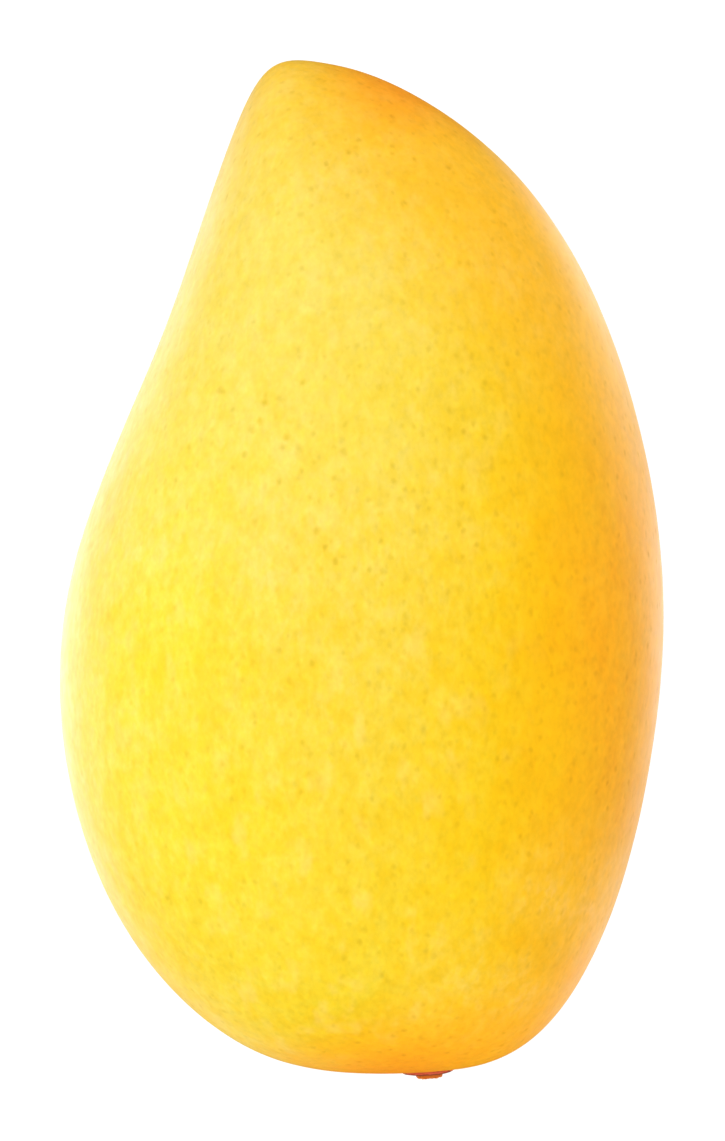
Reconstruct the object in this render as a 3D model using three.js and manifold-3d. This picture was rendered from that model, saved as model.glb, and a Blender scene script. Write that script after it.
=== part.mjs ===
// A ripe yellow mango, as picked, lying on one cheek with the stub of its stalk still on.
// Millimetres, +Z up. The origin is the middle of the small flat spot that the fruit rests on.
// +Y points to the beak and -Y to the stalk end. The fruit is alike above and below its level
// middle plane, where it is broadest.

import * as THREE from "three";
import { mergeVertices } from "three/addons/utils/BufferGeometryUtils.js";
import Module from "manifold-3d";

const wasm = await Module();
wasm.setup();

// The fruit. Half sizes are those of the plain ellipsoid that its cheeks are close to.
const fruit = {
  halfWidth: 36, // along X
  halfLength: 61, // along Y
  halfThickness: 30, // along Z, from the middle plane to the fullest point of a cheek
  shoulderFullness: 0.12, // how much fuller than an ellipsoid it is away from that point
  stalkEndFullness: 0.1, // how much thicker again the stalk end is, and thinner the beak
  restingSag: 0.4, // how far the cheek has flattened under the fruit's own weight
  fineness: 16, // how often each edge of the icosahedron that it starts from is divided
};

// Where its outline passes in the middle plane, counter-clockwise from the fullest point of its back.
const outlinePoints = [
  [35.5, -1.8], // back, fullest
  [33.6, 19.8],
  [27.1, 39.9],
  [16.6, 55.3], // shoulder of the beak
  [4.0, 64.4],
  [-5.0, 67.3],
  [-10.2, 67.3], // beak
  [-13.8, 63.5], // its tight inner corner
  [-18.0, 52.8],
  [-24.6, 34.1], // straight flank under the beak
  [-33.3, 12.6],
  [-36.6, -6.6], // belly, fullest
  [-33.9, -24.6],
  [-25.8, -40.5],
  [-12.4, -51.3], // round corner between the belly and the stalk end
  [2.9, -53.6], // stalk end, almost flat
  [17.3, -51.1], // round corner between the stalk end and the back
  [26.8, -40.1],
  [32.6, -23.4],
].map(([x, y]) => new THREE.Vector2(x, y));
const stepsPerSpan = 60; // short straight steps that the outline is made of between two points

// The stub, all that is left of the stalk: a low cone, from the dark collar round the scar up to
// the broken end. Heights are measured out of the skin, along the cone's axis.
const stub = {
  x: 7.6, // where it leaves the outline
  collarRadius: 3.1,
  collarRise: 0.1,
  endRadius: 1.7,
  endRise: 0.9,
  rootDepth: 0.6, // how far the collar goes into the skin
  clearance: 0.3, // left between the stub and its socket in the fruit
  sides: 32,
};
const socketLength = 4; // long enough to come out of the skin all round

const table = { width: 100, length: 160, depth: 20 }; // what the fruit lies on, used only to cut it
const middlePlane = fruit.halfThickness - fruit.restingSag; // height of the stub and the outline

const skinYellow = new THREE.MeshStandardMaterial({ color: 0xf7c62f, roughness: 0.42, metalness: 0 });
const stubBrown = new THREE.MeshStandardMaterial({ color: 0x8a4a1c, roughness: 0.8, metalness: 0 });

// The guide points of the closed, uniform cubic B-spline that passes through every given point.
// Each is moved by as much as the line still misses its own point, until it misses none.
function guidePoints(points) {
  const passes = 40;
  let guides = points;
  for (let pass = 0; pass < passes; pass++) {
    guides = guides.map((guide, i) => {
      const before = guides.at(i - 1);
      const after = guides[(i + 1) % guides.length];
      const onLine = guide.clone().multiplyScalar(4).add(before).add(after).divideScalar(6);
      return guide.clone().add(points[i]).sub(onLine);
    });
  }
  return guides;
}

// A closed line that bends smoothly through every point, as a list of close points on it.
function smoothLoop(points) {
  const guides = guidePoints(points);
  const line = [];
  for (let i = 0; i < guides.length; i++) {
    const nearest = [-1, 0, 1, 2].map((k) => guides.at((i + k) % guides.length));
    for (let step = 0; step < stepsPerSpan; step++) {
      const f = step / stepsPerSpan;
      const g = 1 - f;
      const weights = [g ** 3, 3 * f ** 3 - 6 * f ** 2 + 4, 3 * g ** 3 - 6 * g ** 2 + 4, f ** 3];
      const point = new THREE.Vector2();
      nearest.forEach((guide, k) => point.addScaledVector(guide, weights[k] / 6));
      line.push(point);
    }
  }
  return line;
}

const outline = smoothLoop(outlinePoints);
const turnOf = (p) => THREE.MathUtils.euclideanModulo(p.angle() - outline[0].angle(), 2 * Math.PI);
const outlineTurns = outline.map(turnOf);

// The outline's distance from the origin in the direction of a point.
function outlineRadius(point) {
  const turn = turnOf(point);
  const after = outlineTurns.findIndex((t) => t > turn);
  const [from, to] = after < 0 ? [outline.length - 1, 0] : [after - 1, after];
  const toTurn = after < 0 ? 2 * Math.PI : outlineTurns[to];
  return THREE.MathUtils.mapLinear(
    turn, outlineTurns[from], toTurn, outline[from].length(), outline[to].length(),
  );
}

// Where a point of the unit sphere lies on the fruit, measured from the middle plane.
// The ellipsoid swells or shrinks to meet the outline at its rim, and stays smooth on the cheeks.
function onSkin(direction) {
  const across = new THREE.Vector2(direction.x * fruit.halfWidth, direction.y * fruit.halfLength);
  const rim = Math.hypot(direction.x, direction.y); // 0 in the middle of a cheek, 1 on the outline
  if (rim > 0) {
    const ellipseRadius = across.length() / rim;
    across.multiplyScalar(THREE.MathUtils.lerp(1, outlineRadius(across) / ellipseRadius, rim ** 2));
  }
  const fullness = 1 + fruit.shoulderFullness * rim ** 2 - fruit.stalkEndFullness * direction.y ** 3;
  return new THREE.Vector3(across.x, across.y, direction.z * fruit.halfThickness * fullness);
}

function asSolid(geometry) {
  const bare = geometry.clone();
  bare.deleteAttribute("normal");
  bare.deleteAttribute("uv");
  const merged = mergeVertices(bare);
  return new wasm.Manifold(
    new wasm.Mesh({
      numProp: 3,
      vertProperties: merged.attributes.position.array,
      triVerts: new Uint32Array(merged.index.array),
    }),
  );
}

function asGeometry(solid) {
  const mesh = solid.getMesh();
  const geometry = new THREE.BufferGeometry();
  geometry.setAttribute("position", new THREE.BufferAttribute(mesh.vertProperties, 3));
  geometry.setIndex(new THREE.BufferAttribute(mesh.triVerts, 1));
  geometry.computeVertexNormals();
  return geometry;
}

// Where the stub stands on the stalk end's outline, and the turn that points its +Y straight out.
function stubPlace() {
  const offX = (p) => (p.y < 0 ? Math.abs(p.x - stub.x) : Infinity);
  const here = outline.findIndex((p) => offX(p) === Math.min(...outline.map(offX)));
  const along = outline[here + 1].clone().sub(outline[here - 1]).normalize();
  const out = new THREE.Vector3(along.y, -along.x, 0);
  return {
    position: new THREE.Vector3(outline[here].x, outline[here].y, middlePlane),
    quaternion: new THREE.Quaternion().setFromUnitVectors(new THREE.Vector3(0, 1, 0), out),
  };
}

const place = stubPlace();

function makeFruit() {
  const skin = new THREE.IcosahedronGeometry(1, fruit.fineness);
  const points = skin.attributes.position;
  for (let i = 0; i < points.count; i++) {
    const point = onSkin(new THREE.Vector3().fromBufferAttribute(points, i).normalize());
    points.setXYZ(i, point.x, point.y, point.z + middlePlane);
  }

  // The table's top flattens the cheek that the fruit lies on.
  const underneath = new THREE.BoxGeometry(table.width, table.length, table.depth)
    .translate(0, 0, -table.depth / 2);

  const socketRadius = stub.collarRadius + stub.clearance;
  const socketDepth = stub.rootDepth + stub.clearance;
  const socket = new THREE.CylinderGeometry(socketRadius, socketRadius, socketLength, stub.sides)
    .translate(0, socketLength / 2 - socketDepth, 0)
    .applyQuaternion(place.quaternion)
    .translate(...place.position);

  const solid = asSolid(skin).subtract(asSolid(underneath)).subtract(asSolid(socket));
  const mesh = new THREE.Mesh(asGeometry(solid), skinYellow);
  mesh.name = "fruit";
  return mesh;
}

function makeStub() {
  const profile = [
    [0, -stub.rootDepth],
    [stub.collarRadius, -stub.rootDepth],
    [stub.collarRadius, stub.collarRise],
    [stub.endRadius, stub.endRise],
    [0, stub.endRise],
  ].map(([radius, height]) => new THREE.Vector2(radius, height));
  const mesh = new THREE.Mesh(new THREE.LatheGeometry(profile, stub.sides), stubBrown);
  mesh.name = "stalk_stub";
  mesh.position.copy(place.position);
  mesh.quaternion.copy(place.quaternion);
  return mesh;
}

const mango = new THREE.Group();
mango.add(makeFruit(), makeStub());

export default mango;
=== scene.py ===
import math

import bpy
import numpy as np
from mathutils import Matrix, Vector, noise


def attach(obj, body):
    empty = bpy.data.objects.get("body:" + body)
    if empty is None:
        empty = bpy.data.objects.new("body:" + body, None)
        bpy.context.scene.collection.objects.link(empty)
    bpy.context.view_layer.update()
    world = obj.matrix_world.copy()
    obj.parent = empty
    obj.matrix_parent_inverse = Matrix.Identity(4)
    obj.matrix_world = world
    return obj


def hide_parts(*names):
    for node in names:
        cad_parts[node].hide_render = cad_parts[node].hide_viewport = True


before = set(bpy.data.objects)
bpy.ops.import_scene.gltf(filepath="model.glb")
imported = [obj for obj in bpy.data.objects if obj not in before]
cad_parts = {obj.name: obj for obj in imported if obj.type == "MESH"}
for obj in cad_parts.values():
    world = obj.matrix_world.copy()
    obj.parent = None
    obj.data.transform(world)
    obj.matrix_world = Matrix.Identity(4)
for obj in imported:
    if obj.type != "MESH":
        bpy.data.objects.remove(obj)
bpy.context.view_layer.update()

mm = 0.001
white = (1, 1, 1, 1)
print("frame loaded:", ", ".join(sorted(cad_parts)))


def ease(x, start, end):
    # 0 at the start, 1 at the end, soft at both
    t = np.clip((x - start) / (end - start), 0, 1)
    return t * t * (3 - 2 * t)


def lumps(points, size, seed):
    # smooth noise, about -1 to 1, with bumps of that size in metres
    seedStep = (17.3, 5.1, 9.7)        # how far apart two seeds are in the noise
    shift = Vector([seed * step for step in seedStep])
    return np.array([noise.noise(Vector(p) / size + shift) for p in points])


def boxedSphere(counts):
    # quads of a unit sphere, made by blowing up a box that has that many quads along each edge
    quads = []
    for axis in range(3):
        u, v = (axis + 1) % 3, (axis + 2) % 3
        for end in (0, counts[axis]):
            i, j = np.meshgrid(np.arange(counts[u]), np.arange(counts[v]), indexing="ij")
            ring = [(0, 0), (1, 0), (1, 1), (0, 1)]
            if end == 0:
                ring.reverse()
            face = np.zeros((i.size, 4, 3), int)
            for k, (du, dv) in enumerate(ring):
                face[:, k, axis] = end
                face[:, k, u] = i.ravel() + du
                face[:, k, v] = j.ravel() + dv
            quads.append(face)
    lattice = np.concatenate(quads).reshape(-1, 3)
    corners, index = np.unique(lattice, axis=0, return_inverse=True)
    cube = np.tan((2 * corners / np.array(counts) - 1) * math.pi / 4)
    return cube / np.linalg.norm(cube, axis=1)[:, None], index.reshape(-1, 4)


def normalsOf(points, quads):
    p = points[quads]
    across = np.cross(p[:, 2] - p[:, 0], p[:, 3] - p[:, 1])
    total = np.zeros_like(points)
    for k in range(4):
        np.add.at(total, quads[:, k], across)
    return total / np.linalg.norm(total, axis=1)[:, None]


def makePiece(name, points, faces, material, node):
    mesh = bpy.data.meshes.new(name)
    mesh.from_pydata([tuple(p) for p in points], [], [tuple(f) for f in faces])
    mesh.shade_smooth()
    mesh.materials.append(material)
    piece = bpy.data.objects.new(name, mesh)
    bpy.context.scene.collection.objects.link(piece)
    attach(piece, "root")
    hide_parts(node)
    return piece


def storeOnPoints(piece, name, values):
    kind, key = ("FLOAT_VECTOR", "vector") if values.ndim == 2 else ("FLOAT", "value")
    field = piece.data.attributes.new(name, kind, "POINT")
    field.data.foreach_set(key, values.astype(np.float32).ravel())


def linear(c):
    # one part of a screen colour, 0 to 255, as light
    c = c / 255
    return c / 12.92 if c <= 0.04045 else ((c + 0.055) / 1.055) ** 2.4


def srgb(r, g, b):
    # a screen colour as the colour that a socket takes
    return (linear(r), linear(g), linear(b), 1)


class Nodes:
    def __init__(self, tree):
        self.tree = tree
        self.tree.nodes.clear()

    def add(self, kind, **settings):
        node = self.tree.nodes.new(kind)
        for key, value in settings.items():
            setattr(node, key, value)
        return node

    def link(self, source, target):
        self.tree.links.new(source, target)

    def feed(self, socket, value):
        if isinstance(value, bpy.types.NodeSocket):
            self.link(value, socket)
        else:
            socket.default_value = value

    def math(self, operation, a, b=0.0, c=0.0):
        node = self.add("ShaderNodeMath", operation=operation)
        for socket, value in zip(node.inputs, (a, b, c)):
            self.feed(socket, value)
        return node.outputs[0]

    def times(self, first, *others):
        for other in others:
            first = self.math("MULTIPLY", first, other)
        return first

    def timesPlus(self, value, factor, added):
        return self.math("MULTIPLY_ADD", value, factor, added)

    def ramp01(self, value, start, end):
        # 0 at the start, 1 at the end, soft at both
        node = self.add("ShaderNodeMapRange", interpolation_type="SMOOTHSTEP")
        for key, x in (("Value", value), ("From Min", start), ("From Max", end)):
            self.feed(node.inputs[key], x)
        return node.outputs["Result"]

    def mix(self, amount, a, b, how="MIX"):
        # a Mix node holds sockets for every kind of data: these are the ones for colours
        node = self.add("ShaderNodeMix", data_type="RGBA", blend_type=how)
        for index, value in ((0, amount), (6, a), (7, b)):
            self.feed(node.inputs[index], value)
        return node.outputs[2]

    def blend(self, amount, a, b):
        # and these the ones for numbers
        node = self.add("ShaderNodeMix", data_type="FLOAT")
        for index, value in ((0, amount), (2, a), (3, b)):
            self.feed(node.inputs[index], value)
        return node.outputs[0]

    def split(self, vector):
        node = self.add("ShaderNodeSeparateXYZ")
        self.link(vector, node.inputs[0])
        return node.outputs

    def near(self, spot, x, y, reach):
        # 1 at that place seen from above, falling softly to 0 at the reach
        awayX = self.math("SUBTRACT", spot["X"], x)
        awayY = self.math("SUBTRACT", spot["Y"], y)
        squared = self.timesPlus(awayX, awayX, self.times(awayY, awayY))
        return self.ramp01(self.math("SQRT", squared), reach, 0.0)

    def nearAny(self, spot, areas):
        # the same round several places: across, along and reach in mm, and strength
        total = 0.0
        for x, y, reach, strength in areas:
            here = self.times(self.near(spot, x * mm, y * mm, reach * mm), strength)
            total = self.math("MAXIMUM", here, total)
        return total

    def scaled(self, colour, amount):
        node = self.add("ShaderNodeVectorMath", operation="SCALE")
        self.link(colour, node.inputs[0])
        self.feed(node.inputs["Scale"], amount)
        return node.outputs[0]

    def colours(self, value, stops):
        node = self.add("ShaderNodeValToRGB")
        self.link(value, node.inputs["Fac"])
        ramp = node.color_ramp
        while len(ramp.elements) < len(stops):
            ramp.elements.new(0.5)
        for element, (at, colour) in zip(ramp.elements, stops):
            element.position = at
            element.color = srgb(*colour)
        return node.outputs["Color"]


class Surface(Nodes):
    def __init__(self, name):
        self.material = bpy.data.materials.new(name)
        self.material.use_nodes = True
        super().__init__(self.material.node_tree)
        self.shader = self.add("ShaderNodeBsdfPrincipled")
        output = self.add("ShaderNodeOutputMaterial")
        self.link(self.shader.outputs["BSDF"], output.inputs["Surface"])
        self.place = self.add("ShaderNodeTexCoord").outputs["Object"]

    def set(self, socket, value):
        self.feed(self.shader.inputs[socket], value)

    def stored(self, name, kind="Fac"):
        return self.add("ShaderNodeAttribute", attribute_name=name).outputs[kind]

    def stretched(self, along, shift=0.0):
        # the place, changed so that what is drawn there comes out longer along the fruit
        # the shift gives each drawing its own part of the noise
        node = self.add("ShaderNodeMapping", vector_type="POINT")
        self.link(self.place, node.inputs["Vector"])
        node.inputs["Scale"].default_value = (1, along, 1)
        aslant = (1, 0.7, 1.3)
        node.inputs["Location"].default_value = [shift * part for part in aslant]
        return node.outputs[0]

    def cloud(self, size, detail=2.0, roughness=0.5, where=None):
        node = self.add("ShaderNodeTexNoise")
        self.link(where or self.place, node.inputs["Vector"])
        node.inputs["Scale"].default_value = 1 / size
        node.inputs["Detail"].default_value = detail
        node.inputs["Roughness"].default_value = roughness
        return node.outputs["Fac"]

    def cells(self, size, where=None):
        node = self.add("ShaderNodeTexVoronoi", feature="F1")
        self.link(where or self.place, node.inputs["Vector"])
        node.inputs["Scale"].default_value = 1 / size
        return node.outputs

    def wobbled(self, where, size, shift):
        # the place, pushed about at random by up to half that shift
        node = self.add("ShaderNodeTexNoise")
        self.link(where, node.inputs["Vector"])
        node.inputs["Scale"].default_value = 1 / size
        push = self.add("ShaderNodeVectorMath", operation="MULTIPLY_ADD")
        self.link(node.outputs["Color"], push.inputs[0])
        push.inputs[1].default_value = (shift,) * 3
        self.link(where, push.inputs[2])
        centred = self.add("ShaderNodeVectorMath", operation="SUBTRACT")
        self.link(push.outputs[0], centred.inputs[0])
        centred.inputs[1].default_value = (shift / 2,) * 3
        return centred.outputs[0]

    def roughen(self, height, strength, distance):
        node = self.add("ShaderNodeBump")
        node.inputs["Strength"].default_value = strength
        node.inputs["Distance"].default_value = distance
        self.link(height, node.inputs["Height"])
        self.set("Normal", node.outputs["Normal"])


# The skin of the whole fruit. Areas are across, along and reach in mm, and strength. Other places
# on the skin run from -1 to 1: across from the belly to the back, along from the stalk end to the
# beak, and in height from the cheek it lies on to the upper cheek.
fruitSkin = {
    # its shape, the same as the frame's
    "shape": {
        "halfWidth": 36 * mm,
        "halfLength": 61 * mm,
        "halfThickness": 30 * mm,
        "shoulderFullness": 0.12,      # how much fuller than an ellipsoid away from the cheek's top
        "stalkEndFullness": 0.1,       # how much thicker again the stalk end, and thinner the beak
        "restingSag": 0.4 * mm,        # how far the cheek it lies on is flattened
        # outline in the level middle plane, in mm, counter-clockwise from the fullest of the back
        "outline": [
            (35.5, -1.8), (33.6, 19.8), (27.1, 39.9), (16.6, 55.3), (4.0, 64.4), (-5.0, 67.3),
            (-10.2, 67.3), (-13.8, 63.5), (-18.0, 52.8), (-24.6, 34.1), (-33.3, 12.6),
            (-36.6, -6.6), (-33.9, -24.6), (-25.8, -40.5), (-12.4, -51.3), (2.9, -53.6),
            (17.3, -51.1), (26.8, -40.1), (32.6, -23.4),
        ],
        "quads": (108, 176, 94),       # across, along and through it
        "lumps": [(34 * mm, 0.22 * mm), (11 * mm, 0.05 * mm), (4 * mm, 0.012 * mm)],  # size, height
        "footRoll": 0.16 * mm,         # how softly the flat spot's edge rolls up
    },
    # the shallow basin that the stalk stood in
    "basin": {
        "x": 7.6 * mm,
        "radius": 7.5 * mm,
        "depth": 0.35 * mm,
        "throughSkin": 8 * mm,         # how far under the stub's foot it still counts
        "puckers": 11,
        "puckerDepth": 0.05 * mm,
        "puckerSwirl": 2,
    },
    # ripe colours
    "ripeness": {
        "wrap": 0.21,                  # how far the back's colours wrap round the ends
        "bellyToBack": [
            (0.0, (240, 206, 106)),
            (0.1, (230, 211, 106)),
            (0.25, (222, 202, 94)),
            (0.4, (219, 195, 86)),
            (0.55, (216, 190, 74)),
            (0.7, (222, 186, 45)),
            (0.8, (230, 176, 3)),
            (0.9, (236, 168, 30)),
            (1.0, (239, 170, 44)),
        ],
        "cloudSize": 20 * mm,
        "cloudShift": 0.3,
        # deeper yellow towards the stalk end: starts along, full along, strength
        "deepening": (0.3, -0.9, 0.6),
        "deepYellow": (1.0, 1.0, 0.0, 1),
        # painted highlight: the cheek painted paler where a soft highlight lies, most towards the
        # beak: across, along, reach, strength
        "paintedHighlight": (-0.1, 0.66, 1.0, 0.12),
        "paintedHighlightTint": (238, 238, 170),
        # where the upper cheek is deeper or paler by a touch
        "upperCheek": (0.0, 0.2),      # heights between which it takes over
        "deepAreas": [
            (-22, -2, 13, 0.9), (-16, -20, 12, 0.7), (2, 26, 12, 0.5), (21, 0, 15, 0.5),
            (-3, -47, 10, 0.9),
        ],
        "deepTouch": (1.0, 0.985, 0.5, 1),
        "paleAreas": [
            (2, 54, 13, 0.2), (19, 43, 15, 0.175), (-10, 9, 10, 0.15), (13, -42, 14, 0.25),
            (24, -31, 13, 0.27), (18, -46, 11, 0.4),
        ],
        "paleTouch": (234, 200, 142),
        # golden beak and copper stalk end: slant across, starts along, full along, strength
        "beak": (0.5, 0.56, 1.05, 0.9),
        "beakTint": (238, 179, 46),
        "stalkEnd": (-0.2, -0.72, -0.98, 0.99),
        "stalkEndTint": (243, 169, 4),
        "burntAreas": [(5, 67, 13, 0.8), (11, 64, 9, 0.5), (4, -57, 11, 0.8)],
        "burnt": (243, 137, 0),
        # the belly's flank gets a painted sheen, paler cream round its middle, and its underside is
        # warmer
        "belly": (-0.1, -0.6),         # across, from where it starts to where it is full
        "flank": (0.7, 0.0),           # the same in height, above and below the middle plane
        "flankCream": (255, 213, 136),
        "paintedSheenStrength": 0.6,
        "underside": (0.15, -0.35),    # the same in height
        "undersideYellow": (255, 206, 98),
        "warmth": 0.75,
    },
    "mottling": {
        "backness": (0.0, 0.7),        # from where to where the back's own shades take over
        # deeper patches: size, strength on the belly and on the back
        "patches": [
            (9 * mm, 0.5, 0.7), (5 * mm, 0.7, 0.8), (2.4 * mm, 0.9, 0.95), (1.2 * mm, 0.8, 0.9),
            (0.65 * mm, 0.4, 0.5),
        ],
        "patchStretch": 0.65,
        "patchShift": 0.83,            # from one size of patch to the next
        "patchEdge": (0.36, 0.64),
        "bellyPatch": (1.0, 0.955, 0.6, 1),
        "backPatch": (0.99, 0.96, 0.35, 1),
        # weaker towards the beak: starts along, full along, by how much
        "calmBeak": (-0.1, 0.6, 0.4),
        "rosySize": 3.2 * mm,
        "rosyStretch": 0.6,
        "rosyShift": 0.37,
        "rosyEdge": (0.52, 0.75),
        "rosyTint": (236, 203, 112),
        "rosiness": 0.3,
        "rosyOnBack": 0.02,            # how much of it the back has
        # light and dark grain: size, strength
        "grains": [(2.0 * mm, 0.06), (1.0 * mm, 0.1), (0.5 * mm, 0.07)],
        "grainStretch": 0.7,
        "grainShift": 0.29,            # from one size of grain to the next
    },
    "pores": {
        # size of a cell, reach of the pore in it, strength
        "sizes": [(2.4 * mm, 0.28, 0.6), (1.3 * mm, 0.4, 0.72)],
        "stretch": 0.8,
        "shift": 0.21,                 # from one size of pore to the next
        "shade": (0.76, 0.72, 0.44, 1),
        "wobble": (0.9 * mm, 0.5 * mm),
        "crowding": 16 * mm,           # size of the places where they crowd
        "crowdEdge": (0.25, 0.6),
        "uncrowded": 0.5,              # strength elsewhere
        "fewOnBelly": (-1.0, 0.0),     # across, from where they start to where there are most
        # the few darkest on the upper cheek: across and along in mm, strength
        "flecks": [
            (-16.5, 27, 0.8), (-11.5, 25.5, 1), (-10, 26, 0.7), (-12, 23.5, 0.8), (-13, 22.5, 0.6),
            (-9, 21.5, 0.8), (-9.5, 20.5, 0.6), (-7.5, 17, 0.5), (-12.5, 12, 0.6), (-5.5, 11, 0.7),
            (9.5, 53.5, 0.6),
        ],
        "fleckReach": 0.7,             # mm
        "fleckShade": (0.83, 0.77, 0.45, 1),
    },
    "peel": {
        "flush": (216, 92, 52),        # round the stalk
        "flushEdge": (0.36, 0.64),
        "flushStrength": 0.7,
        "roughness": 0.46,
        "roughnessSpread": 0.12,
        "smearSize": 2.2 * mm,
        "poreRoughness": 0.15,
        "grain": (0.55 * mm, 0.25),    # size and height, next to the dimples
        "dimples": (2.6 * mm, 1.0),
        "poreHeight": 0.35,
        "strength": 0.5,
        "height": 0.05 * mm,
        "ior": 1.38,
        "glowWeight": 0.12,            # light that goes a little way into the peel
        "glowColour": (1.0, 0.6, 0.15),
        "glowDepth": 2 * mm,
    },
}


def smoothLoop(points, steps=60, passes=40):
    # a closed line that bends smoothly through every point
    points = np.array(points, float) * mm
    guides = points.copy()
    for _ in range(passes):
        onLine = (np.roll(guides, 1, 0) + 4 * guides + np.roll(guides, -1, 0)) / 6
        guides += points - onLine
    f = np.linspace(0, 1, steps, endpoint=False)[:, None]
    g = 1 - f
    weights = [g**3, 3 * f**3 - 6 * f**2 + 4, 3 * g**3 - 6 * g**2 + 4, f**3]
    line = []
    for i in range(len(guides)):
        near = [guides[(i + k) % len(guides)] for k in (-1, 0, 1, 2)]
        line.append(sum(w * p for w, p in zip(weights, near)) / 6)
    return np.concatenate(line)


outline = smoothLoop(fruitSkin["shape"]["outline"])
outlineTurn = np.unwrap(np.arctan2(outline[:, 1], outline[:, 0]))
outlineReach = np.hypot(outline[:, 0], outline[:, 1])
middleHeight = fruitSkin["shape"]["halfThickness"] - fruitSkin["shape"]["restingSag"]


def reachAt(turn):
    # the outline's distance from the middle, at an angle round it
    turn = outlineTurn[0] + np.mod(turn - outlineTurn[0], 2 * math.pi)
    turns = np.append(outlineTurn, outlineTurn[0] + 2 * math.pi)
    return np.interp(turn, turns, np.append(outlineReach, outlineReach[0]))


def onSkin(d):
    # where points of the unit sphere lie on the fruit
    shape = fruitSkin["shape"]
    rim = np.hypot(d[:, 0], d[:, 1])
    flat = d[:, :2] * (shape["halfWidth"], shape["halfLength"])
    tiny = 1e-9
    ellipse = np.hypot(flat[:, 0], flat[:, 1]) / np.maximum(rim, tiny)
    reach = reachAt(np.arctan2(flat[:, 1], flat[:, 0]))
    swell = 1 + rim**2 * (reach / np.maximum(ellipse, tiny) - 1)
    swell[rim < tiny] = 1
    full = 1 + shape["shoulderFullness"] * rim**2 - shape["stalkEndFullness"] * d[:, 1] ** 3
    z = d[:, 2] * shape["halfThickness"] * full
    return np.column_stack([flat * swell[:, None], z + middleHeight])


def stubAxis():
    # where the stub stands on the outline, and the way it points
    farOff = 9     # so that the half with the beak never counts
    below = np.where(outline[:, 1] < 0, np.abs(outline[:, 0] - fruitSkin["basin"]["x"]), farOff)
    i = int(np.argmin(below))
    along = outline[i + 1] - outline[i - 1]
    out = np.array([along[1], -along[0], 0]) / np.hypot(*along)
    return np.array([outline[i, 0], outline[i, 1], middleHeight]), out


stubAt, stubOut = stubAxis()
stubSide = np.cross(stubOut, (0, 0, 1.0))


def roundStub(points):
    # how far each point is from the stub's axis, at what angle round it, and how far out along it
    off = points - stubAt
    side, up = off @ stubSide, off[:, 2]
    return np.hypot(side, up), np.arctan2(up, side), off @ stubOut


def buildSkin(material):
    shape, basin = fruitSkin["shape"], fruitSkin["basin"]
    sphere, quads = boxedSphere(shape["quads"])
    points = onSkin(sphere)
    outward = normalsOf(points, quads)
    if np.sum(outward * (points - points.mean(0))) < 0:
        quads = quads[:, ::-1]
        outward = -outward

    rise = np.zeros(len(points))
    for seed, (size, height) in enumerate(shape["lumps"], 1):
        rise += height * lumps(points, size, seed)

    away, around, depth = roundStub(points)
    nearStub = (1 - ease(away, 0, basin["radius"])) * (depth > -basin["throughSkin"])
    rise -= basin["depth"] * nearStub
    fold = np.cos(around * basin["puckers"] + basin["puckerSwirl"] * np.sin(around))
    rise += basin["puckerDepth"] * nearStub * fold
    points = points + outward * rise[:, None]

    # the flat spot that it rests on
    z = points[:, 2]
    z = (z + np.sqrt(z**2 + shape["footRoll"] ** 2)) / 2
    points[:, 2] = z - z.min()

    skin = makePiece("fruit_skin", points, quads, material, "fruit")
    storeOnPoints(skin, "skinPlace", sphere)
    storeOnPoints(skin, "nearStub", nearStub)
    print("skin:", len(points), "points,", len(quads), "quads")


def paintRipeness(n, across, along):
    # from the lemon yellow belly to the orange back, deeper towards the stalk end
    f = fruitSkin["ripeness"]
    towardsBack = n.timesPlus(n.times(along, along), f["wrap"], across)
    cloud = n.math("SUBTRACT", n.cloud(f["cloudSize"], detail=3.0), 0.5)
    towardsBack = n.timesPlus(cloud, f["cloudShift"], towardsBack)
    colour = n.colours(n.timesPlus(towardsBack, 0.5, 0.5), f["bellyToBack"])
    start, full, strength = f["deepening"]
    deepening = n.times(n.ramp01(along, start, full), strength)
    return n.mix(deepening, colour, f["deepYellow"], "MULTIPLY"), towardsBack


def paintCheek(n, colour, skinPlace, seenFromAbove, onUpperCheek):
    f = fruitSkin["ripeness"]
    # painted highlight: the cheek made paler where a soft highlight would lie
    *highlightAt, strength = f["paintedHighlight"]
    paintedHighlight = n.times(n.near(skinPlace, *highlightAt), strength)
    colour = n.mix(paintedHighlight, colour, srgb(*f["paintedHighlightTint"]))
    deep = n.times(n.nearAny(seenFromAbove, f["deepAreas"]), onUpperCheek)
    colour = n.mix(deep, colour, f["deepTouch"], "MULTIPLY")
    pale = n.times(n.nearAny(seenFromAbove, f["paleAreas"]), onUpperCheek)
    return n.mix(pale, colour, srgb(*f["paleTouch"]))


def paintEnds(n, colour, across, along, seenFromAbove):
    f = fruitSkin["ripeness"]
    masks = []
    for end in ("beak", "stalkEnd"):
        slant, start, full, strength = f[end]
        mask = n.times(n.ramp01(n.timesPlus(across, slant, along), start, full), strength)
        colour = n.mix(mask, colour, srgb(*f[end + "Tint"]))
        masks.append(mask)
    colour = n.mix(n.nearAny(seenFromAbove, f["burntAreas"]), colour, srgb(*f["burnt"]))
    return colour, n.math("MAXIMUM", *masks)


def paintBellySide(n, colour, across, height):
    f = fruitSkin["ripeness"]
    belly = n.ramp01(across, *f["belly"])
    warm = n.times(n.ramp01(height, *f["underside"]), belly, f["warmth"])
    colour = n.mix(warm, colour, srgb(*f["undersideYellow"]))
    # painted sheen: the belly's flank painted cream round the middle plane, where its rim would
    # catch a pale reflection
    flank = n.times(n.ramp01(n.math("ABSOLUTE", height), *f["flank"]), belly, f["paintedSheenStrength"])
    return n.mix(flank, colour, srgb(*f["flankCream"]))


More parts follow.
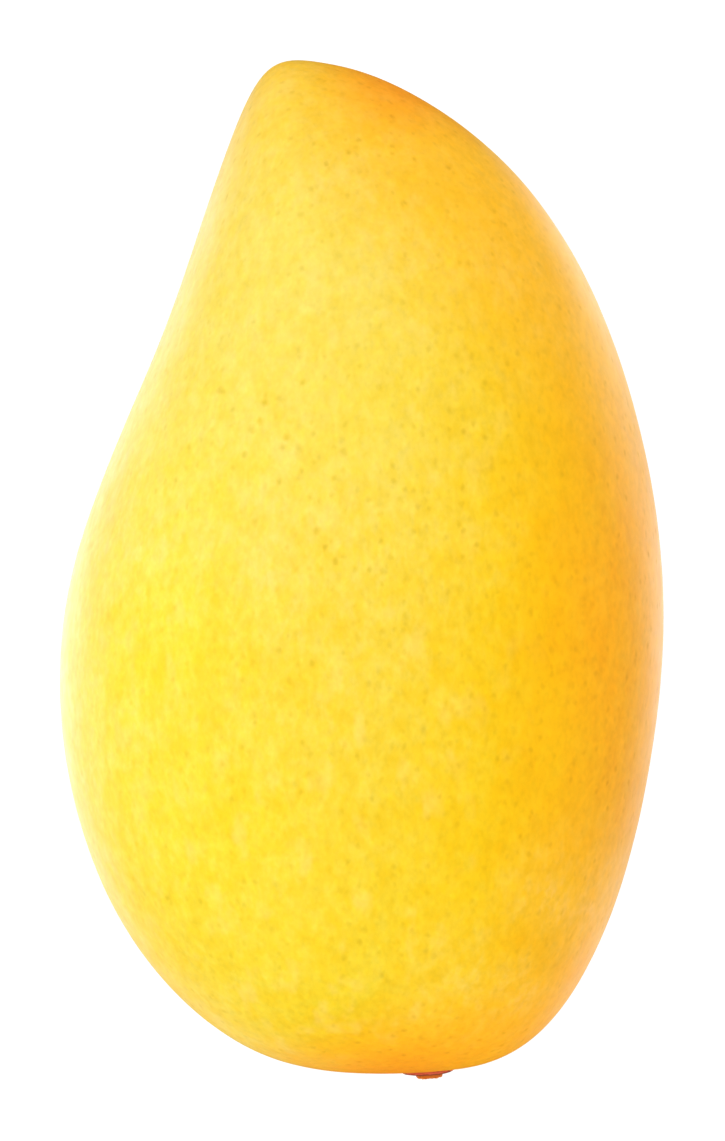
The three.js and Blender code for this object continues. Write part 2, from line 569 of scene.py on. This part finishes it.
def paintMottling(n, colour, backness, along):
    m = fruitSkin["mottling"]
    shade = n.mix(backness, m["bellyPatch"], m["backPatch"])
    start, full, calming = m["calmBeak"]
    calm = n.timesPlus(n.ramp01(along, start, full), -calming, 1.0)
    for k, (size, onBelly, onBack) in enumerate(m["patches"]):
        where = n.stretched(m["patchStretch"], m["patchShift"] * k)
        patch = n.ramp01(n.cloud(size, roughness=0.55, where=where), *m["patchEdge"])
        amount = n.times(patch, calm, n.blend(backness, onBelly, onBack))
        colour = n.mix(amount, colour, shade, "MULTIPLY")

    where = n.stretched(m["rosyStretch"], m["rosyShift"])
    rosy = n.ramp01(n.cloud(m["rosySize"], where=where), *m["rosyEdge"])
    onBack = n.timesPlus(backness, m["rosyOnBack"] - 1, 1.0)
    colour = n.mix(n.times(rosy, onBack, m["rosiness"]), colour, srgb(*m["rosyTint"]))

    for k, (size, strength) in enumerate(m["grains"]):
        grain = n.cloud(size, where=n.stretched(m["grainStretch"], m["grainShift"] * k))
        colour = n.scaled(colour, n.timesPlus(grain, 2 * strength, 1 - strength))
    return colour


def paintPores(n, colour, across, onUpperCheek):
    # small soft spots, each of its own strength, crowded in places
    p = fruitSkin["pores"]
    crowded = n.ramp01(n.cloud(p["crowding"]), *p["crowdEdge"])
    crowded = n.times(crowded, n.ramp01(across, *p["fewOnBelly"]))
    crowded = n.timesPlus(crowded, 1 - p["uncrowded"], p["uncrowded"])
    pore = 0.0
    for k, (cell, reach, strength) in enumerate(p["sizes"]):
        cells = n.cells(cell, n.wobbled(n.stretched(p["stretch"], p["shift"] * k), *p["wobble"]))
        chance = n.split(cells["Color"])["X"]
        spot = n.times(n.ramp01(cells["Distance"], reach, 0.0), chance, strength, crowded)
        pore = n.math("MAXIMUM", spot, pore)
    colour = n.mix(pore, colour, p["shade"], "MULTIPLY")

    flecks = [(x, y, p["fleckReach"], strength) for x, y, strength in p["flecks"]]
    fleck = n.nearAny(n.split(n.wobbled(n.place, *p["wobble"])), flecks)
    return n.mix(n.times(fleck, onUpperCheek), colour, p["fleckShade"], "MULTIPLY"), pore


def formPeel(n, pore):
    # fine grain, soft dimples, pores that stand a little proud
    s = fruitSkin["peel"]
    grainSize, grainHeight = s["grain"]
    dimpleSize, dimpleHeight = s["dimples"]
    peel = n.times(n.cloud(grainSize, roughness=0.6), grainHeight)
    peel = n.timesPlus(n.cloud(dimpleSize), dimpleHeight, peel)
    n.roughen(n.timesPlus(pore, s["poreHeight"], peel), s["strength"], s["height"])

    spread = s["roughnessSpread"]
    rough = n.timesPlus(n.cloud(s["smearSize"]), spread, s["roughness"] - spread / 2)
    n.set("Roughness", n.timesPlus(pore, s["poreRoughness"], rough))
    n.set("IOR", s["ior"])
    n.set("Subsurface Weight", s["glowWeight"])
    n.set("Subsurface Radius", s["glowColour"])
    n.set("Subsurface Scale", s["glowDepth"])


def skinMaterial():
    n = Surface("mango_skin")
    skinPlace = n.split(n.stored("skinPlace", "Vector"))
    across, along, height = skinPlace["X"], skinPlace["Y"], skinPlace["Z"]
    seenFromAbove = n.split(n.place)
    onUpperCheek = n.ramp01(height, *fruitSkin["ripeness"]["upperCheek"])

    colour, towardsBack = paintRipeness(n, across, along)
    colour = paintCheek(n, colour, skinPlace, seenFromAbove, onUpperCheek)
    colour, ends = paintEnds(n, colour, across, along, seenFromAbove)
    colour = paintBellySide(n, colour, across, height)
    backness = n.ramp01(towardsBack, *fruitSkin["mottling"]["backness"])
    colour = paintMottling(n, colour, n.math("MAXIMUM", backness, ends), along)
    colour, pore = paintPores(n, colour, across, onUpperCheek)

    s = fruitSkin["peel"]
    flush = n.times(n.ramp01(n.stored("nearStub"), *s["flushEdge"]), s["flushStrength"])
    n.set("Base Color", n.mix(flush, colour, srgb(*s["flush"])))
    formPeel(n, pore)
    return n.material


# the stub of the stalk: a woody collar round a broken core with a dished end
stalkStub = {
    "sides": 144,
    # radius and height of each ring in mm, from under the skin to the middle of the end
    "rings": [
        (2.9, -0.55), (3.06, -0.25), (3.13, -0.04), (3.06, 0.08), (2.88, 0.19), (2.6, 0.26),
        (2.2, 0.29), (1.88, 0.32),
        (1.7, 0.4), (1.6, 0.54), (1.53, 0.7), (1.42, 0.81),
        (1.22, 0.86), (0.9, 0.8), (0.6, 0.74), (0.3, 0.72),
    ],
    "heartHeight": 0.73,
    "core": (0.45, 0.7),               # where the collar turns into the core, of the way inwards
    "outOfRound": 0.07,
    "bulges": 0.7,                     # how many to a mm
    "bulgeShift": (3.1, 0, 0),         # which part of the noise they come from
    "ribs": (23, 0.02),                # fibres that show round it, and how far they stand out, in mm
    "ribWander": 2,
    "tornEdge": 0.13,                  # mm
    "splinters": (2.2, 6),             # coarse and fine, how many to a mm
    "fineSplinters": 0.5,              # how long they are next to the coarse ones
    "splinterShift": (0, 7.7, 0),
    # colours from under the skin, over the collar, up the core and into the dished end
    "colours": [
        (0.0, (196, 86, 64)),
        (0.15, (204, 92, 66)),
        (0.21, (146, 58, 22)),
        (0.3, (118, 46, 18)),
        (0.38, (154, 68, 16)),
        (0.46, (116, 48, 14)),
        (0.56, (180, 84, 14)),
        (0.7, (208, 106, 16)),
        (0.79, (222, 142, 70)),
        (0.86, (168, 98, 40)),
        (1.0, (134, 76, 32)),
    ],
    "wander": (1.0 * mm, 0.24),        # size, and how far the colours wander
    "fibreSize": 0.22 * mm,
    "fibreStretch": 0.35,
    "fibreEdge": (0.48, 0.75),
    "fibreShade": (92, 44, 18),
    "fibreStrength": 0.55,
    "brokenEnd": (0.76, 0.86),         # and where the dished end begins
    "holeSize": 0.4 * mm,              # open ends of the fibres
    "holeEdge": (0.45, 0.15),
    "holeShade": (70, 34, 16),
    "holeStrength": 0.75,
    "roughness": (0.6, 0.9),
    "barkStrength": 0.8,
    "barkHeight": 0.08 * mm,
}


def stubPoints():
    # each point of the rings with the middle last, and how far it is from the first ring to the last
    f = stalkStub
    ribCount, ribHeight = f["ribs"]
    coarse, fine = f["splinters"]
    bulgeShift, splinterShift = Vector(f["bulgeShift"]), Vector(f["splinterShift"])
    points, inwards = [], []
    for k, (radius, height) in enumerate(f["rings"]):
        t = k / (len(f["rings"]) - 1)
        onCore = float(ease(t, *f["core"]))
        for a in np.arange(f["sides"]) * 2 * math.pi / f["sides"]:
            probe = Vector((math.cos(a) * radius, math.sin(a) * radius, height))
            bulge = noise.noise(probe * f["bulges"] + bulgeShift)
            rib = math.cos(ribCount * a + f["ribWander"] * noise.noise(probe))
            torn = noise.noise(probe * coarse + splinterShift)
            torn += f["fineSplinters"] * noise.noise(probe * fine)
            r = radius * (1 + f["outOfRound"] * bulge) + ribHeight * rib * onCore
            z = height + f["tornEdge"] * torn * onCore
            points.append((r * math.cos(a), r * math.sin(a), z))
            inwards.append(t)
    points.append((0, 0, f["heartHeight"]))
    inwards.append(1)
    return points, inwards


def buildStub(material):
    sides, ringCount = stalkStub["sides"], len(stalkStub["rings"])
    points, inwards = stubPoints()
    faces = [tuple(reversed(range(sides)))]
    for k in range(ringCount - 1):
        for i in range(sides):
            j = (i + 1) % sides
            faces.append((k * sides + i, k * sides + j, (k + 1) * sides + j, (k + 1) * sides + i))
    last = (ringCount - 1) * sides
    faces += [(last + i, last + (i + 1) % sides, last + sides) for i in range(sides)]

    axes = np.array([stubSide, (0, 0, 1), stubOut])
    if np.linalg.det(axes) < 0:
        faces = [tuple(reversed(face)) for face in faces]
    places = stubAt + mm * np.array(points) @ axes
    stub = makePiece("stalk_stub_broken", places, faces, material, "stalk_stub")
    storeOnPoints(stub, "outToIn", np.array(inwards, float))
    print("stub:", len(points), "points")


def stubMaterial():
    n = Surface("dry_stalk")
    f = stalkStub
    inwards = n.stored("outToIn")
    wanderSize, wander = f["wander"]
    wandering = n.timesPlus(n.cloud(wanderSize, detail=3.0, roughness=0.65), wander, -wander / 2)
    colour = n.colours(n.math("ADD", inwards, wandering), f["colours"])
    along = n.stretched(f["fibreStretch"])
    fibre = n.cloud(f["fibreSize"], detail=3.0, roughness=0.6, where=along)
    dark = n.times(n.ramp01(fibre, *f["fibreEdge"]), f["fibreStrength"])
    colour = n.mix(dark, colour, srgb(*f["fibreShade"]))
    hole = n.ramp01(n.cells(f["holeSize"])["Distance"], *f["holeEdge"])
    hole = n.times(hole, n.ramp01(inwards, *f["brokenEnd"]))
    n.set("Base Color", n.mix(n.times(hole, f["holeStrength"]), colour, srgb(*f["holeShade"])))
    least, most = f["roughness"]
    n.set("Roughness", n.timesPlus(fibre, most - least, least))
    n.roughen(n.timesPlus(hole, -1.0, fibre), f["barkStrength"], f["barkHeight"])
    return n.material


# the studio, in metres where nothing else is said
studio = {
    "floorSize": 8.0,
    "nearFloor": 0.78,                 # glow of the white floor, as the camera sees it
    "farFloor": 1.0,
    "fadeReach": (0.15, 0.6),
    "floorShade": 0.28,
    "floorLight": (0.08, 0.42),        # light that it throws back on the fruit, from left and right
    # soft white cards that lie on the floor: across, along, reach in mm, and glow
    "bellyCards": [
        (-60, -5, 60, 4.1), (-150, 0, 110, 2.5), (-51, 55, 43, 2.9), (-58, -58, 42, 1.3),
        (-28, -88, 36, 0.7),
    ],
    "backCards": [
        (58, 0, 50, 2.8), (105, 45, 60, 2.8), (49, 55, 38, 3.1), (52, -52, 36, 1.9),
        (95, -65, 50, 1.1),
    ],
    "skyLight": 0.3,
    "skyMirrored": 0.03,
    "boxAway": 0.8,
    "boxSize": 0.5,
    # softboxes: angle round the fruit, angle above the floor, brightness
    "boxes": {
        "beakBox": (99, 43, 0.8),
        "stalkBox": (270, 32, 0.79),
        "backBox": (0, 20, 0.39),
        "bellyBox": (180, 33, 0.53),
    },
}


def buildFloor():
    bpy.ops.mesh.primitive_plane_add(size=studio["floorSize"], location=(0, 0, 0))
    floor = bpy.context.object
    floor.name = "studio_floor"
    n = Surface("studio_floor")
    n.set("Roughness", 1.0)
    n.set("Specular IOR Level", 0.0)
    n.set("Emission Color", white)

    # the cards are seen only as gloss on the skin
    spot = n.split(n.place)
    mirrored = studio["skyMirrored"]
    for x, y, reach, glow in studio["bellyCards"] + studio["backCards"]:
        mirrored = n.timesPlus(n.near(spot, x * mm, y * mm, reach * mm), glow, mirrored)

    # what the floor throws back grows from left to right
    towards = n.add("ShaderNodeVectorMath", operation="NORMALIZE")
    n.link(n.place, towards.inputs[0])
    across = n.timesPlus(n.split(towards.outputs[0])["X"], 0.5, 0.5)
    path = n.add("ShaderNodeLightPath").outputs
    glow = n.blend(path["Is Glossy Ray"], n.blend(across, *studio["floorLight"]), mirrored)
    n.set("Base Color", n.blend(path["Is Glossy Ray"], studio["floorShade"], 0.0))

    # the camera sees it fade to white away from the fruit
    away = n.add("ShaderNodeVectorMath", operation="LENGTH")
    n.link(n.place, away.inputs[0])
    faded = n.ramp01(away.outputs["Value"], *studio["fadeReach"])
    seen = n.blend(faded, studio["nearFloor"], studio["farFloor"])
    n.set("Emission Strength", n.blend(path["Is Camera Ray"], glow, seen))
    n.material.cycles.emission_sampling = "NONE"     # or the gloss would see the floor's light too
    floor.data.materials.append(n.material)


def buildSky():
    world = bpy.data.worlds.new("studio_sky")
    bpy.context.scene.world = world
    world.use_nodes = True
    n = Nodes(world.node_tree)
    sky = n.add("ShaderNodeBackground")
    n.link(sky.outputs[0], n.add("ShaderNodeOutputWorld").inputs["Surface"])
    path = n.add("ShaderNodeLightPath").outputs
    light = n.blend(path["Is Glossy Ray"], studio["skyLight"], studio["skyMirrored"])
    n.feed(sky.inputs["Strength"], n.blend(path["Is Camera Ray"], light, 1.0))
    n.feed(sky.inputs["Color"], white)
    world.cycles.sampling_method = "NONE"


def addSoftbox(name, around, above, brightness):
    # it lights the skin as a big soft source, and isn't seen in the gloss
    away = studio["boxAway"]
    data = bpy.data.lights.new(name, "AREA")
    data.shape = "SQUARE"
    data.size = studio["boxSize"]
    data.energy = brightness * math.pi**2 * away**2     # as bright on the fruit from any distance
    lamp = bpy.data.objects.new(name, data)
    bpy.context.scene.collection.objects.link(lamp)
    around, above = math.radians(around), math.radians(above)
    level = math.cos(above)
    towards = Vector((level * math.cos(around), level * math.sin(around), math.sin(above)))
    lamp.location = towards * away + Vector((0, 0, fruitSkin["shape"]["halfThickness"]))
    lamp.rotation_euler = towards.to_track_quat("Z", "Y").to_euler()
    lamp.visible_camera = False
    lamp.visible_glossy = False


cameraPlan = {
    "lens": 120,
    "sensor": 36,
    "frameHeight": 136.92 * mm,        # what the picture takes in from top to bottom, at the outline
    "lookAt": (-0.42 * mm, 6.54 * mm),
    "clip": (0.01, 20),
}


def buildCamera():
    plan = cameraPlan
    data = bpy.data.cameras.new("camera")
    data.lens = plan["lens"]
    data.sensor_width = plan["sensor"]
    data.sensor_fit = "AUTO"
    data.clip_start, data.clip_end = plan["clip"]
    camera = bpy.data.objects.new("camera", data)
    bpy.context.scene.collection.objects.link(camera)
    distance = plan["frameHeight"] * plan["lens"] / plan["sensor"]
    camera.location = (*plan["lookAt"], middleHeight + distance)
    bpy.context.scene.camera = camera


buildCamera()
buildSky()
for name, place in studio["boxes"].items():
    addSoftbox(name, *place)
buildFloor()
bpy.context.scene.view_settings.view_transform = "Standard"
print("studio ready")

buildSkin(skinMaterial())
buildStub(stubMaterial())
